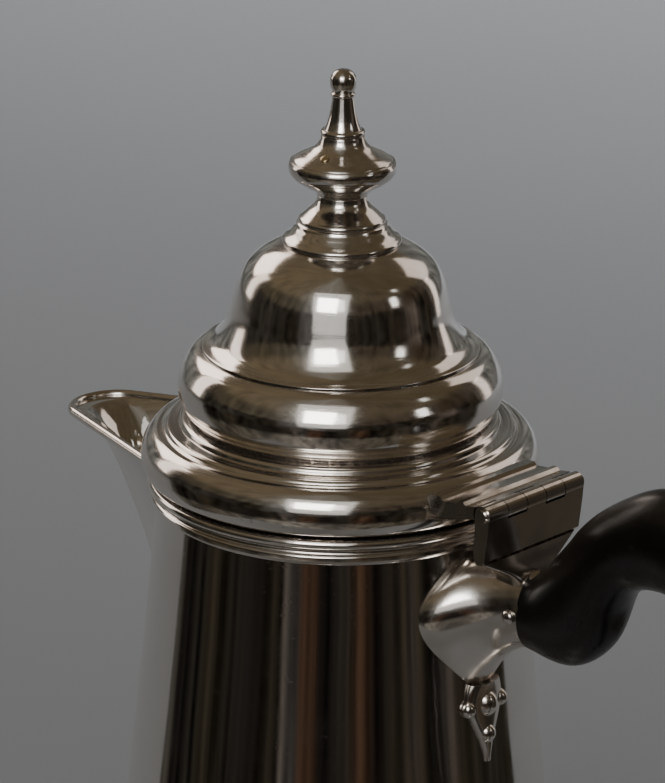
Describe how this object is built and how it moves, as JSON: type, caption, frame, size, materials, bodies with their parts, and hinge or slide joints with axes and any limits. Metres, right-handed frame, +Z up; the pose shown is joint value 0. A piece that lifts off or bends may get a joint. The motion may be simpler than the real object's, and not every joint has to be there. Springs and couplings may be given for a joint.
{
  "type": "coffee pot",
  "caption": "Tapered silver coffee pot with a beak spout, a hinged domed lid with a turned finial, and a dark wooden scroll handle held in two sockets.",
  "frame": {"origin": "centre of the foot at its underside, on the table", "axes": "+Z up, +X toward the handle and hinge, -X toward the spout"},
  "size_m": [0.2091, 0.121, 0.2457],
  "materials": {
    "silver": "polished silver with age wear",
    "silver_body": "polished silver sheet with fine scratches",
    "plug_brass": "dull",
    "ebony": "waxed black hardwood, worn"
  },
  "bodies": {
    "pot": {"base_plate": "silver_body", "body_rim": "silver", "body_shell": "silver_body", "foot_ring": "silver", "handle": "ebony", "handle_pin_lower": "silver", "handle_pin_upper": "silver", "handle_socket_lower": "silver", "handle_socket_upper": "silver", "hinge_lower_leaf": "silver", "hinge_pin": "silver", "hinge_stand": "silver", "socket_drop": "silver", "spout": "silver_body", "spout_wire": "silver"},
    "lid": {"lid_flange": "silver", "lid_bezel": "silver", "lid_dome": "silver", "hinge_upper_leaf": "silver", "finial_base": "silver", "finial_knop": "silver", "finial_spire": "silver", "finial_plug": "plug_brass", "finial_stud": "silver", "finial_nut": "silver"}
  },
  "joints": [
    {"name": "lid_hinge", "type": "hinge", "parent": "pot", "child": "lid", "pos_m": [0.057, 0, 0.161], "axis": [0, 1, 0], "range_deg": [0, 105]}
  ]
}
